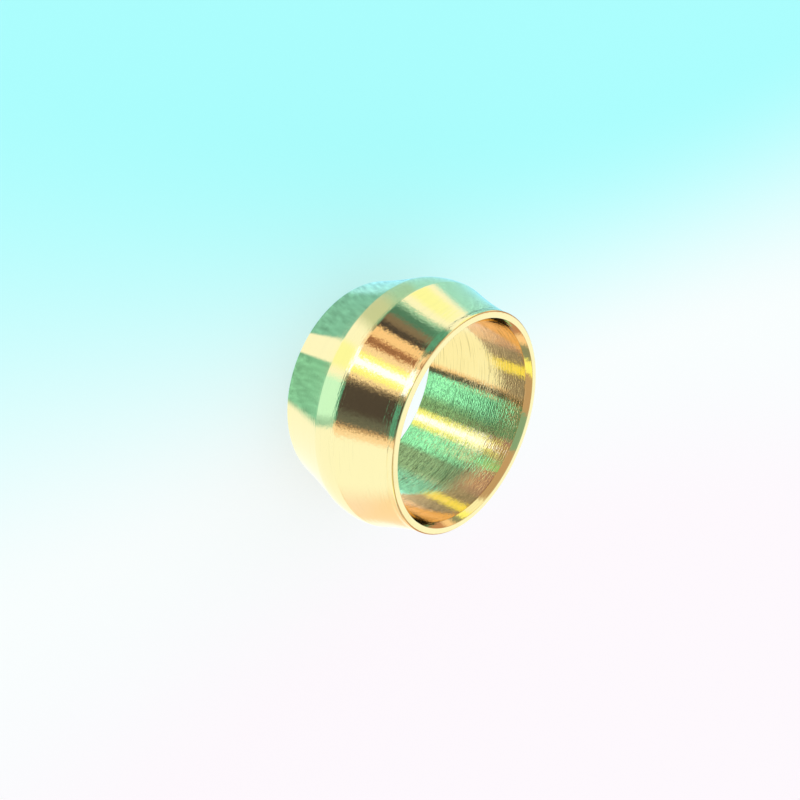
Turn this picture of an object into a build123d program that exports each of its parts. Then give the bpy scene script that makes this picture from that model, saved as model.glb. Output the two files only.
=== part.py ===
from build123d import *

import os

# Compression ferrule for a 10 mm tube: one turned brass ring, open from end to end.
# Millimetres, +Z up. It stands on its plain rear end, whose centre is the origin.
# The bore runs along +Z and the bevelled mouth is at the top.

# Driving dimensions: the tube and the bore that slides over it
tube_diameter = 10.0
bore_clearance = 0.1
mouth_bevel_width = 0.21
mouth_bevel_depth = 0.3
rear_bevel = 0.05

# Driving dimensions: the wall's thickness at the lip, the crest and the rear end
lip_width = 0.34
crest_wall = 1.4
rear_wall = 0.55

# Driving dimensions: the heights and bows of the outside
length = 6.95
nose_height = 0.35
nose_flare = 0.03
front_taper_height = 2.4
front_taper_hollow = 0.07
crest_height = 1.25
crest_crown = 0.06
rear_taper_hollow = 0.035

# Driving dimensions: how softly each outside corner is rounded
crest_corner_radius = 0.35
nose_corner_radius = 0.3
lip_corner_radius = 0.07
rear_corner_radius = 0.1

# Radii and heights that follow from the sizes above
bore_radius = (tube_diameter + bore_clearance) / 2
mouth_radius = bore_radius + mouth_bevel_width
lip_radius = mouth_radius + lip_width
nose_radius = lip_radius + nose_flare
crest_edge_radius = bore_radius + crest_wall - crest_crown
rear_radius = bore_radius + rear_wall
nose_bottom = length - nose_height
crest_top = nose_bottom - front_taper_height
crest_bottom = crest_top - crest_height

# Corners of the section, each as radius and height
rear_inner = (bore_radius + rear_bevel, 0)
rear_outer = (rear_radius, 0)
crest_lower = (crest_edge_radius, crest_bottom)
crest_upper = (crest_edge_radius, crest_top)
nose_lower = (nose_radius, nose_bottom)
lip_outer = (lip_radius, length)
lip_inner = (mouth_radius, length)
bore_top = (bore_radius, length - mouth_bevel_depth)
bore_bottom = (bore_radius, rear_bevel)


def bowed_edge(start, end, bow):
    """An upward arc whose middle stands out from the axis by bow, or is hollow below zero."""
    return SagittaArc(start, end, -bow)


def corner_at(wall, point):
    """The section's corner nearest to a point."""
    place = Vector(point[0], point[1])
    return wall.vertices().sort_by(lambda corner: (corner.center() - place).length)[:1]


def wall_section():
    """The wall's section on one side of the axis."""
    with BuildSketch() as wall:
        with BuildLine():
            Line(rear_inner, rear_outer)
            bowed_edge(rear_outer, crest_lower, -rear_taper_hollow)
            bowed_edge(crest_lower, crest_upper, crest_crown)
            bowed_edge(crest_upper, nose_lower, -front_taper_hollow)
            Line(nose_lower, lip_outer)
            Line(lip_outer, lip_inner)
            Line(lip_inner, bore_top)
            Line(bore_top, bore_bottom)
            Line(bore_bottom, rear_inner)
        make_face()
        fillet(corner_at(wall, crest_lower), crest_corner_radius)
        fillet(corner_at(wall, crest_upper), crest_corner_radius)
        fillet(corner_at(wall, nose_lower), nose_corner_radius)
        fillet(corner_at(wall, lip_outer), lip_corner_radius)
        fillet(corner_at(wall, rear_outer), rear_corner_radius)
    return wall.sketch


def turned_ferrule():
    """The whole ferrule, turned about the bore's axis."""
    return revolve(Plane.XZ * wall_section(), Axis.Z, 360).solid()


os.makedirs("parts", exist_ok=True)
export_step(turned_ferrule(), "parts/ferrule.step")
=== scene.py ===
import math

import bpy
from mathutils import Matrix, Vector, noise


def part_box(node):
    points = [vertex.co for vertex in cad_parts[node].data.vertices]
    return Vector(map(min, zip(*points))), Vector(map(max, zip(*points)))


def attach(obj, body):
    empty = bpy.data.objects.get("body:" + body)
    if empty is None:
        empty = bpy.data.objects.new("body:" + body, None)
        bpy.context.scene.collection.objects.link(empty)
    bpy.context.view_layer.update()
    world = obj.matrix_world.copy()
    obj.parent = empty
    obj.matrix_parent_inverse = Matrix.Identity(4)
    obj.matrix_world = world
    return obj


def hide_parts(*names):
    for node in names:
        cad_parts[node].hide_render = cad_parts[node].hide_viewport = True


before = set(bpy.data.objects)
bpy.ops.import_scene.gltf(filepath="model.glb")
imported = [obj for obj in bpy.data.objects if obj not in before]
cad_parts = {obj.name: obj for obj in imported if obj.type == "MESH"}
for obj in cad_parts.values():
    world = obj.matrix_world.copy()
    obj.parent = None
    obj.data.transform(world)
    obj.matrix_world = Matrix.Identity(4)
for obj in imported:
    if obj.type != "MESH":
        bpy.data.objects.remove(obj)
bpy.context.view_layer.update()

MM = 0.001
IMAGE_WIDTH = 800
SENSOR_WIDTH = 36.0

# The photograph's view: the mouth's centre in pixels, its depth, and how the camera is tilted and rolled
MOUTH_PIXEL = (472.04, 425.89)
MOUTH_DEPTH = 32.83 * MM
FOCAL_PIXELS = 687.3
CAMERA_ELEVATION = math.radians(37.19)
CAMERA_ROLL = math.radians(111.73)

# The ferrule's section in millimetres, the same as the solid's
LOW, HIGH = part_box("ferrule")
LENGTH = HIGH.z / MM
CREST_RADIUS = HIGH.x / MM
BORE_RADIUS = 5.05
MOUTH_RADIUS = 5.26
MOUTH_BEVEL_DEPTH = 0.3
REAR_BEVEL = 0.05
LIP_RADIUS = 5.6
NOSE_RADIUS = 5.63
NOSE_HEIGHT = 0.35
FRONT_TAPER_HEIGHT = 2.4
FRONT_TAPER_HOLLOW = 0.07
CREST_HEIGHT = 1.25
CREST_CROWN = 0.06
REAR_RADIUS = 5.6
REAR_TAPER_HOLLOW = 0.035
CREST_CORNER = 0.35
NOSE_CORNER = 1.2
LIP_CORNER = 0.07
REAR_CORNER = 0.1
BEVEL_CORNER = 0.04

# The turning marks in the bore, in millimetres, and how finely the ring is divided
SEGMENTS = 320
GROOVE_PITCH = 0.12
GROOVE_DEPTH = 0.0006
RINGS_PER_GROOVE = 4
CHATTER_DEPTH = 0.0006

# Brass, its two finishes, how much painted shade each puts in the hollows of its marks, and the marks in them: how
# long and how high each mark is, and how deep, in millimetres
BRASS = (0.89, 0.79, 0.45, 1)
# The colour of the painted shade in the marks' hollows, and of the one dark speck
SHADE_AND_SPECK = (0.42, 0.36, 0.17, 1)
TURNED_FINISH = ("turned_brass", 0.1, 0.06, ((1.6, 0.06, 0.004), (0.16, 0.08, 0.004)))
BORED_FINISH = ("bored_brass", 0.08, 0.6, ((2.4, 0.06, 0.002), (0.19, 0.06, 0.0045)))
SPECK_PLACE = (3.38, 3.75, 2.35)
SPECK_RADIUS = 0.07

# The pale backdrop
CYAN_PAPER = (0.41, 0.99, 0.99, 1)
WHITE_PAPER = (0.95, 0.995, 0.995, 1)
WARM_PAPER = (0.99, 0.945, 0.985, 1)
PAPER_SPREAD = 40 * MM
PAPER_LEAN = 0.54
PAPER_EDGES = (-0.354, 0.13)
WARM_PAPER_EDGES = (0.1, 0.5)
PAPER_GLOW = 0.7

# Colours of the soft cards and room that the brass mirrors
WHITE = (1.13, 1.17, 1.1)
HOT = (1.5, 1.65, 2.2)
LEMON = (1.13, 1.21, 0.45)
PALE_LEMON = (1.12, 1.2, 0.72)
GOLD = (1.25, 1.18, 0.34)
CREAM = (1.12, 1.08, 0.84)
PALE_PEACH = (1.12, 0.92, 0.84)
PEACH = (1.12, 0.86, 0.64)
ORANGE = (1.12, 0.76, 0.48)
APRICOT = (1.25, 0.84, 0.84)
SALMON = (0.95, 0.36, 0.45)
AMBER = (0.6, 0.4, 0.26)
RUST = (0.6, 0.3, 0.18)
CHESTNUT = (0.3, 0.13, 0.08)
BROWN = (0.26, 0.2, 0.16)
DARK = (0.085, 0.07, 0.07)
SOOT = (0.05, 0.045, 0.055)
DUSK = (0.15, 0.16, 0.15)
OLIVE = (0.3, 0.32, 0.24)
UMBER = (0.33, 0.31, 0.42)
ROSE = (0.48, 0.33, 0.54)
TAN = (0.66, 0.77, 0.62)
PALE_PINK = (1.3, 1.2, 1.7)
HOLLY = (0.11, 0.38, 0.42)
INK = (0.09, 0.11, 0.1)
MOSS = (0.42, 0.77, 0.72)
SAGE = (0.27, 0.46, 0.36)
SEA = (0.24, 0.63, 0.62)
FERN = (0.26, 0.68, 0.58)
PALE_TEAL = (0.4, 0.9, 1.0)
SKY = (0.42, 0.98, 1.2)
MINT = (0.69, 1.2, 1.17)
GREEN = (0.28, 0.74, 0.5)
FIR = (0.09, 0.25, 0.22)
PINE = (0.12, 0.42, 0.36)
DIM_GREEN = (0.22, 0.44, 0.29)
JADE = (0.32, 1.0, 0.82)

# What stands round the ferrule, as upright strips: the azimuth in degrees where each colour starts, and its edge's width
UPPER_ROOM = (
    (-180, 6, SKY), (-150, 20, PALE_TEAL), (-110, 8, WHITE), (-102, 8, PALE_LEMON), (-84, 6, WHITE),
    (-75, 4, MOSS), (-70, 6, FIR), (-60, 6, BROWN), (-52, 6, SOOT), (-45.5, 2, ORANGE), (-36.5, 2, RUST),
    (-34, 2, CHESTNUT), (-30.5, 2, RUST), (-28, 3, PEACH), (-22, 3, LEMON), (-17, 3, HOT), (-10.5, 3, LEMON), (-4.5, 3, PEACH), (-0.5, 3, BROWN),
    (3.5, 2, DARK), (26, 8, DUSK), (36, 2, AMBER), (39.5, 2, PEACH), (46, 5, WHITE), (100, 30, PALE_PEACH),
    (165, 10, WHITE), (177, 6, SKY),
)
MIDDLE_ROOM = (
    (-180, 6, SKY), (-150, 20, PALE_TEAL), (-108, 8, WHITE), (-78, 6, PINE), (-48, 6, OLIVE), (-42, 4, PEACH),
    (-26, 5, HOT), (-3, 5, OLIVE), (6, 5, PINE), (38, 4, PEACH), (46, 6, WHITE), (95, 25, PEACH),
    (165, 10, WHITE), (177, 6, SKY),
)
HIGH_ROOM = (
    (-180, 6, WHITE), (-160, 8, RUST), (-131, 8, ORANGE), (-120, 8, OLIVE), (-110, 6, GOLD), (-100, 6, CREAM),
    (-78, 10, AMBER), (-10, 6, SAGE), (38, 8, AMBER), (84, 6, GOLD), (100, 8, OLIVE), (118, 8, ORANGE),
    (132, 8, RUST), (160, 8, WHITE),
)
NARROW_BORE_ROOM = (
    (-180, 6, SKY), (-125, 8, SAGE), (-90, 20, OLIVE), (-40, 8, JADE), (-20, 3, GOLD), (-8, 3, OLIVE),
    (6, 10, DIM_GREEN), (28, 8, GREEN), (41, 1.5, INK), (48.5, 3, AMBER), (54, 6, CREAM), (177, 6, SKY),
)
BORE_ROOM = (
    (-180, 6, SKY), (-125, 8, SEA), (-88, 16, SAGE), (-52, 8, JADE), (-26, 3, LEMON), (-18, 3, HOT),
    (-10, 3, LEMON), (-3, 4, DIM_GREEN), (16, 16, JADE), (44.5, 1.5, INK), (52.5, 2, ORANGE), (57, 6, CREAM),
    (125, 20, WHITE), (177, 6, SKY),
)
TWICE_SEEN_ROOM = (
    (-180, 10, HOLLY), (-103, 4, INK), (-86, 6, UMBER), (-31, 4, GOLD), (-3, 5, UMBER), (34, 12, ROSE),
    (104, 8, JADE), (145, 4, GOLD), (163, 6, ROSE),
)
LOW_TWICE_SEEN_ROOM = (
    (-180, 10, ROSE), (-142, 10, SALMON), (-112, 8, APRICOT), (-80, 8, UMBER), (-31, 4, GOLD), (-3, 5, UMBER),
    (45, 10, APRICOT), (105, 8, SALMON), (142, 10, ROSE),
)
TURN_BACK = (24, 90, 130)
BORE_SLATS = (-32, -9, 0.8)
UPPER_SLATS = (0, 3, 0.6)

# The ring-shaped cards on the floor, which the crest and the rear taper mirror
CREST_CARD = (
    (-180, 6, SKY), (-100, 20, PALE_TEAL), (-76, 10, MOSS), (-56, 16, TAN), (-33, 12, WHITE), (-18, 6, PALE_LEMON),
    (-3, 6, WHITE), (3, 6, MINT), (27, 6, MOSS), (33, 4, WHITE), (177, 6, SKY),
)
REAR_CARD = (
    (-180, 6, SKY), (-44, 6, SEA), (-13, 1.5, WHITE), (-2.5, 1.5, FERN), (23, 5, WHITE), (177, 6, SKY),
)
CARD_GRAIN = 0.3
CARD_GRAIN_DEPTH = 1.3
REAR_CARD_RIM = 7.3 * MM
REAR_CARD_TWIST = 0.32
CREST_CARD_RIM = 14.5 * MM
CARD_HOLE_RIM = 5.2 * MM
RIM_SOFTNESS = 1 * MM


def bowed_points(start, end, bow, count):
    """Points from start to end, with the middle pushed outwards by bow."""
    points = []
    for step in range(count + 1):
        share = step / count
        radius = start[0] + share * (end[0] - start[0]) + 4 * bow * share * (1 - share)
        points.append((radius, start[1] + share * (end[1] - start[1])))
    return points


def rounded_corner(before, corner, after, radius, count=4):
    """The points of an arc that rounds a corner between two neighbours."""
    corner = Vector(corner)
    back = (Vector(before) - corner).normalized()
    ahead = (Vector(after) - corner).normalized()
    half_turn = math.acos(max(-1, min(1, back.dot(ahead)))) / 2
    reach = radius / math.tan(half_turn)
    middle = corner + (back + ahead).normalized() * radius / math.sin(half_turn)
    first = corner + back * reach - middle
    last = corner + ahead * reach - middle
    turn = first.angle_signed(last)
    points = []
    for step in range(count + 1):
        point = middle + first @ Matrix.Rotation(turn * step / count, 2)
        points.append((point.x, point.y))
    return points


def outside_points():
    """The outside from the rear end up to the lip, with its corners rounded."""
    crest_edge = CREST_RADIUS - CREST_CROWN
    nose_bottom = LENGTH - NOSE_HEIGHT
    crest_top = nose_bottom - FRONT_TAPER_HEIGHT
    crest_bottom = crest_top - CREST_HEIGHT
    rear = bowed_points((REAR_RADIUS, 0), (crest_edge, crest_bottom), -REAR_TAPER_HOLLOW, 16)
    crest = bowed_points((crest_edge, crest_bottom), (crest_edge, crest_top), CREST_CROWN, 8)
    front = bowed_points((crest_edge, crest_top), (NOSE_RADIUS, nose_bottom), -FRONT_TAPER_HOLLOW, 16)
    points = rounded_corner((BORE_RADIUS, 0), rear[0], rear[1], REAR_CORNER)
    points += rear[1:-1]
    points += rounded_corner(rear[-2], crest[0], crest[1], CREST_CORNER)
    points += crest[1:-1]
    points += rounded_corner(crest[-2], front[0], front[1], CREST_CORNER)
    points += front[1:-1]
    points += rounded_corner(front[-2], front[-1], (LIP_RADIUS, LENGTH), NOSE_CORNER)
    points += rounded_corner(front[-1], (LIP_RADIUS, LENGTH), (MOUTH_RADIUS, LENGTH), LIP_CORNER)
    return points


def bore_points():
    """The bevelled mouth, and the bore's rings down to the rear end."""
    top = LENGTH - MOUTH_BEVEL_DEPTH
    rings = round((top - REAR_BEVEL) / GROOVE_PITCH * RINGS_PER_GROOVE)
    mouth = rounded_corner((LIP_RADIUS, LENGTH), (MOUTH_RADIUS, LENGTH), (BORE_RADIUS, top), BEVEL_CORNER, 3)
    mouth += rounded_corner((MOUTH_RADIUS, LENGTH), (BORE_RADIUS, top), (BORE_RADIUS, REAR_BEVEL), BEVEL_CORNER, 3)
    bore = bowed_points((BORE_RADIUS, top), (BORE_RADIUS, REAR_BEVEL), 0, rings)
    return mouth, bore[2:-1], [bore[-1], (BORE_RADIUS + REAR_BEVEL, 0)]


def groove_offset(ring, turn, height):
    """How far a turning mark moves the bore's wall at a place, in millimetres."""
    thread = math.sin(2 * math.pi * ring / RINGS_PER_GROOVE + turn)
    place = Vector((12 * math.cos(turn), 12 * math.sin(turn), height / GROOVE_PITCH))
    strength = 0.6 + 1.2 * noise.noise(place)
    grain = Vector((40 * math.cos(turn), 40 * math.sin(turn), 11.3 * height))
    return GROOVE_DEPTH * strength * thread + CHATTER_DEPTH * noise.noise(grain)


def turned_mesh(name):
    """The ferrule's wall turned about the Z axis, with real turning marks in its bore."""
    mouth, bore, rear = bore_points()
    smooth_start = outside_points() + mouth
    section = smooth_start + bore + rear
    first_marked = len(smooth_start)
    last_marked = first_marked + len(bore)
    vertices = []
    faces = []
    count = len(section)
    for segment in range(SEGMENTS):
        angle = 2 * math.pi * segment / SEGMENTS
        for ring, (radius, height) in enumerate(section):
            if first_marked <= ring < last_marked:
                radius += groove_offset(ring - first_marked, angle, height)
            vertices.append((radius * MM * math.cos(angle), radius * MM * math.sin(angle), height * MM))
    for segment in range(SEGMENTS):
        here = segment * count
        there = (segment + 1) % SEGMENTS * count
        for point in range(count):
            following = (point + 1) % count
            faces.append((here + point, there + point, there + following, here + following))
    mesh = bpy.data.meshes.new(name)
    mesh.from_pydata(vertices, [], faces)
    mesh.polygons.foreach_set("use_smooth", [True] * len(faces))
    bored = [int(first_marked - 1 <= point < last_marked) for point in range(count)]
    mesh.polygons.foreach_set("material_index", bored * SEGMENTS)
    piece = bpy.data.objects.new(name, mesh)
    bpy.context.scene.collection.objects.link(piece)
    return piece


class Nodes:
    """Short names for making and joining shader nodes."""

    def __init__(self, tree):
        self.tree = tree

    def make(self, kind, **settings):
        node = self.tree.nodes.new(kind)
        for setting, value in settings.items():
            setattr(node, setting, value)
        return node

    def feed(self, socket, value):
        if isinstance(value, bpy.types.NodeSocket):
            self.tree.links.new(value, socket)
        else:
            socket.default_value = value

    def math(self, operation, *values):
        node = self.make("ShaderNodeMath", operation=operation)
        for socket, value in zip(node.inputs, values):
            self.feed(socket, value)
        return node.outputs[0]

    def rise(self, value, low, high):
        """Zero below low, one above high, and smooth between them."""
        node = self.make("ShaderNodeMapRange", interpolation_type="SMOOTHSTEP")
        self.feed(node.inputs["Value"], value)
        self.feed(node.inputs["From Min"], low)
        self.feed(node.inputs["From Max"], high)
        return node.outputs["Result"]

    def mix(self, share, first, second):
        node = self.make("ShaderNodeMix", data_type="RGBA")
        self.feed(node.inputs[0], share)
        self.feed(node.inputs[6], first)
        self.feed(node.inputs[7], second)
        return node.outputs[2]

    def parts(self, vector):
        node = self.make("ShaderNodeSeparateXYZ")
        self.feed(node.inputs[0], vector)
        return node.outputs

    def joined(self, x, y, z):
        node = self.make("ShaderNodeCombineXYZ")
        for socket, value in zip(node.inputs, (x, y, z)):
            self.feed(socket, value)
        return node.outputs[0]


def room_strips(nodes, azimuth, strips):
    """The colours round the ferrule at one height, as soft-edged upright strips."""
    colour = (*strips[0][2], 1)
    for start, width, shade in strips[1:]:
        share = nodes.rise(azimuth, start - width / 2, start + width / 2)
        colour = nodes.mix(share, colour, (*shade, 1))
    return colour


def paper_colour(nodes, place):
    """The backdrop's colour: cyan paper that fades to white."""
    x, y, z = nodes.parts(place)
    side = nodes.math("ADD", x, nodes.math("MULTIPLY", y, PAPER_LEAN))
    reach = nodes.math("ADD", nodes.math("MULTIPLY", x, x), nodes.math("MULTIPLY", y, y))
    reach = nodes.math("SQRT", nodes.math("ADD", reach, PAPER_SPREAD ** 2))
    share = nodes.math("DIVIDE", side, reach)
    colour = nodes.mix(nodes.rise(share, *PAPER_EDGES), CYAN_PAPER, WHITE_PAPER)
    return nodes.mix(nodes.rise(share, *WARM_PAPER_EDGES), colour, WARM_PAPER)


def azimuth_of(nodes, x, y):
    """The azimuth in degrees, zero towards -Y and growing towards +X."""
    turn = nodes.math("ARCTAN2", x, nodes.math("MULTIPLY", y, -1))
    return nodes.math("MULTIPLY", turn, 180 / math.pi)


def uneven(nodes, colour, wave, depth):
    """The same colour, brighter and darker by a wave where it isn't white or yellow."""
    green = nodes.rise(nodes.math("SUBTRACT", 1, nodes.parts(colour)[0]), 0.2, 0.65)
    change = nodes.math("MULTIPLY", nodes.math("MULTIPLY", green, depth), wave)
    scaled = nodes.make("ShaderNodeVectorMath", operation="SCALE")
    nodes.feed(scaled.inputs[0], colour)
    nodes.feed(scaled.inputs["Scale"], nodes.math("ADD", change, 1))
    return scaled.outputs[0]


def slatted(nodes, colour, elevation, start, period, depth):
    """A room's colour where it is hung with level slats."""
    turn = nodes.math("MULTIPLY", nodes.math("SUBTRACT", elevation, start), 2 * math.pi / period)
    wave = nodes.math("SINE", turn)
    return uneven(nodes, colour, wave, depth)


def room_colour(nodes, direction, bounces):
    """What the brass mirrors in each direction beyond the floor's cards."""
    x, y, z = nodes.parts(direction)
    azimuth = azimuth_of(nodes, x, y)
    elevation = nodes.math("MULTIPLY", nodes.math("ARCSINE", z), 180 / math.pi)
    colour = room_strips(nodes, azimuth, BORE_ROOM)
    colour = nodes.mix(nodes.rise(elevation, -32, -29.8), colour, room_strips(nodes, azimuth, NARROW_BORE_ROOM))
    colour = slatted(nodes, colour, elevation, *BORE_SLATS)
    upper = room_strips(nodes, azimuth, MIDDLE_ROOM)
    upper = nodes.mix(nodes.rise(elevation, -22, -16), upper, room_strips(nodes, azimuth, UPPER_ROOM))
    colour = nodes.mix(nodes.rise(elevation, -29.4, -28), colour, slatted(nodes, upper, elevation, *UPPER_SLATS))
    rise, start, end = TURN_BACK
    behind = nodes.rise(nodes.math("ABSOLUTE", azimuth), start, end)
    height = nodes.math("ADD", elevation, nodes.math("MULTIPLY", behind, rise))
    colour = nodes.mix(nodes.rise(height, 8, 18), colour, room_strips(nodes, azimuth, HIGH_ROOM))
    colour = nodes.mix(nodes.rise(elevation, 50, 75), colour, (*WHITE, 1))
    twice = room_strips(nodes, azimuth, TWICE_SEEN_ROOM)
    low_twice = room_strips(nodes, azimuth, LOW_TWICE_SEEN_ROOM)
    twice = nodes.mix(nodes.rise(elevation, -31.5, -30.5), low_twice, twice)
    twice = nodes.mix(nodes.rise(elevation, -34, -33), (*PALE_PINK, 1), twice)
    mouth = nodes.math("MULTIPLY", nodes.rise(elevation, -28.8, -27.8), nodes.rise(azimuth, 110, 140))
    twice = nodes.mix(mouth, twice, (*ROSE, 1))
    colour = nodes.mix(nodes.math("GREATER_THAN", bounces, 1.5), colour, twice)
    return nodes.mix(nodes.math("GREATER_THAN", bounces, 2.5), colour, (*APRICOT, 1))


def card_colour(nodes, place):
    """The colour of the ring-shaped cards on the floor, and how much of them there is."""
    x, y, z = nodes.parts(place)
    azimuth = azimuth_of(nodes, x, y)
    reach = nodes.math("ADD", nodes.math("MULTIPLY", x, x), nodes.math("MULTIPLY", y, y))
    radius = nodes.math("SQRT", reach)
    spread = nodes.math("MULTIPLY_ADD", radius, REAR_CARD_TWIST / MM, -0.8)
    rear = room_strips(nodes, nodes.math("DIVIDE", azimuth, spread), REAR_CARD)
    crest = room_strips(nodes, azimuth, CREST_CARD)
    rim = REAR_CARD_RIM - RIM_SOFTNESS / 2
    colour = nodes.mix(nodes.rise(radius, rim, rim + RIM_SOFTNESS), rear, crest)
    grain = nodes.make("ShaderNodeTexNoise")
    grain.inputs["Scale"].default_value = 1 / (CARD_GRAIN * MM)
    nodes.feed(grain.inputs["Vector"], place)
    colour = uneven(nodes, colour, nodes.math("SUBTRACT", grain.outputs["Fac"], 0.5), CARD_GRAIN_DEPTH)
    hole = nodes.math("GREATER_THAN", radius, CARD_HOLE_RIM)
    rim = CREST_CARD_RIM - RIM_SOFTNESS
    beyond = nodes.rise(radius, rim, rim + 2 * RIM_SOFTNESS)
    return colour, nodes.math("MULTIPLY", hole, nodes.math("SUBTRACT", 1, beyond))


def brass_material(name, roughness, recess_shade, grains):
    """Brass whose fine marks run round the axis, with painted shade darkening the hollows of the deepest of them,
    and one dark speck.
    """
    material = bpy.data.materials.new(name)
    material.use_nodes = True
    nodes = Nodes(material.node_tree)
    shader = material.node_tree.nodes["Principled BSDF"]
    shader.inputs["Metallic"].default_value = 1
    shader.inputs["Roughness"].default_value = roughness
    place = nodes.make("ShaderNodeTexCoord").outputs["Object"]
    heights = []
    for length, height, depth in grains:
        stretch = nodes.make("ShaderNodeVectorMath", operation="MULTIPLY")
        nodes.feed(stretch.inputs[0], place)
        stretch.inputs[1].default_value = (1 / (length * MM), 1 / (length * MM), 1 / (height * MM))
        marks = nodes.make("ShaderNodeTexNoise")
        marks.inputs["Scale"].default_value = 1
        marks.inputs["Detail"].default_value = 1
        nodes.feed(marks.inputs["Vector"], stretch.outputs[0])
        heights.append(nodes.math("MULTIPLY", marks.outputs["Fac"], depth * MM))
    lines = nodes.math("DIVIDE", heights[0], grains[0][2] * MM)
    # Painted shade: the brass darkens where its marks are lowest
    painted_recess_shade = nodes.math("MULTIPLY", nodes.rise(lines, 0.44, 0.26), recess_shade)
    away = nodes.make("ShaderNodeVectorMath", operation="DISTANCE")
    nodes.feed(away.inputs[0], place)
    away.inputs[1].default_value = [size * MM for size in SPECK_PLACE]
    speck = nodes.rise(away.outputs["Value"], SPECK_RADIUS * MM, SPECK_RADIUS * MM / 2)
    colour = nodes.mix(nodes.math("MAXIMUM", painted_recess_shade, speck), BRASS, SHADE_AND_SPECK)
    nodes.feed(shader.inputs["Base Color"], colour)
    bump = nodes.make("ShaderNodeBump")
    bump.inputs["Strength"].default_value = 1
    bump.inputs["Distance"].default_value = 1
    nodes.feed(bump.inputs["Height"], nodes.math("ADD", *heights))
    nodes.feed(shader.inputs["Normal"], bump.outputs["Normal"])
    return material


def dressed_ferrule():
    """The ferrule as one finely turned ring in place of the plain solid."""
    piece = turned_mesh("turned_ferrule")
    piece.data.materials.append(brass_material(*TURNED_FINISH))
    piece.data.materials.append(brass_material(*BORED_FINISH))
    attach(piece, "root")
    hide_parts("ferrule")
    return piece


def photograph_camera():
    """The camera that sees the ferrule as the photograph does."""
    data = bpy.data.cameras.new("camera")
    data.sensor_width = SENSOR_WIDTH
    data.lens = FOCAL_PIXELS * SENSOR_WIDTH / IMAGE_WIDTH
    data.clip_start = 1 * MM
    data.clip_end = 10
    camera = bpy.data.objects.new("camera", data)
    bpy.context.scene.collection.objects.link(camera)
    turn = Matrix.Rotation(math.pi / 2 - CAMERA_ELEVATION, 3, "X") @ Matrix.Rotation(CAMERA_ROLL, 3, "Z")
    across = (MOUTH_PIXEL[0] - IMAGE_WIDTH / 2) / FOCAL_PIXELS * MOUTH_DEPTH
    down = (MOUTH_PIXEL[1] - IMAGE_WIDTH / 2) / FOCAL_PIXELS * MOUTH_DEPTH
    mouth = Vector((0, 0, LENGTH * MM))
    camera.matrix_world = Matrix.Translation(mouth - turn @ Vector((across, -down, -MOUTH_DEPTH))) @ turn.to_4x4()
    bpy.context.scene.camera = camera


def blended(nodes, share, first, second):
    """A shader mixed from two others."""
    node = nodes.make("ShaderNodeMixShader")
    nodes.feed(node.inputs[0], share)
    nodes.feed(node.inputs[1], first)
    nodes.feed(node.inputs[2], second)
    return node.outputs[0]


def glowing(nodes, kind, colour):
    """A shader of even light in one colour."""
    node = nodes.make(kind)
    nodes.feed(node.inputs["Color"], colour)
    return node.outputs[0]


def paper_floor():
    """The plain pale floor, with painted light inside the ring's footprint; the brass mirrors only the cards on
    it.
    """
    bpy.ops.mesh.primitive_plane_add(size=4, location=(0, 0, 0))
    floor = bpy.context.object
    floor.name = "floor"
    material = bpy.data.materials.new("pale_paper")
    material.use_nodes = True
    tree = material.node_tree
    nodes = Nodes(tree)
    tree.nodes.remove(tree.nodes["Principled BSDF"])
    path = nodes.make("ShaderNodeLightPath")
    place = nodes.make("ShaderNodeNewGeometry").outputs["Position"]
    colour = paper_colour(nodes, place)
    matt = glowing(nodes, "ShaderNodeBsdfDiffuse", colour)
    glow = glowing(nodes, "ShaderNodeEmission", colour)
    # Painted light: inside the ring's footprint the floor glows fully for camera rays, so the ring's shade does
    # not fall there
    centre = nodes.make("ShaderNodeVectorMath", operation="LENGTH")
    nodes.feed(centre.inputs[0], place)
    painted_light_in_ring = nodes.math("LESS_THAN", centre.outputs["Value"], (BORE_RADIUS + REAR_BEVEL) * MM)
    glowing_share = nodes.math("MAXIMUM", painted_light_in_ring, PAPER_GLOW)
    share = nodes.math("MULTIPLY", path.outputs["Is Camera Ray"], glowing_share)
    paper = blended(nodes, share, matt, glow)
    card, cover = card_colour(nodes, place)
    clear = nodes.make("ShaderNodeBsdfTransparent").outputs[0]
    cards = blended(nodes, cover, clear, glowing(nodes, "ShaderNodeEmission", card))
    surface = blended(nodes, path.outputs["Is Glossy Ray"], paper, cards)
    nodes.feed(tree.nodes["Material Output"].inputs["Surface"], surface)
    floor.data.materials.append(material)
    return floor


def studio_light():
    """Plain soft light, the backdrop beyond the floor, and the room that the brass mirrors."""
    world = bpy.data.worlds.new("studio")
    bpy.context.scene.world = world
    world.use_nodes = True
    tree = world.node_tree
    nodes = Nodes(tree)
    tree.nodes.remove(tree.nodes["Background"])
    direction = nodes.make("ShaderNodeTexCoord").outputs["Generated"]
    path = nodes.make("ShaderNodeLightPath")
    flat = nodes.parts(direction)
    backdrop = paper_colour(nodes, nodes.joined(flat[0], flat[1], 0))
    plain = nodes.mix(path.outputs["Is Camera Ray"], (1, 1, 1, 1), backdrop)
    room = room_colour(nodes, direction, path.outputs["Glossy Depth"])
    plain = glowing(nodes, "ShaderNodeBackground", plain)
    room = glowing(nodes, "ShaderNodeBackground", room)
    surface = blended(nodes, path.outputs["Is Glossy Ray"], plain, room)
    nodes.feed(tree.nodes["World Output"].inputs["Surface"], surface)


bpy.context.scene.view_settings.view_transform = "Standard"
photograph_camera()
paper_floor()
studio_light()
ferrule = dressed_ferrule()
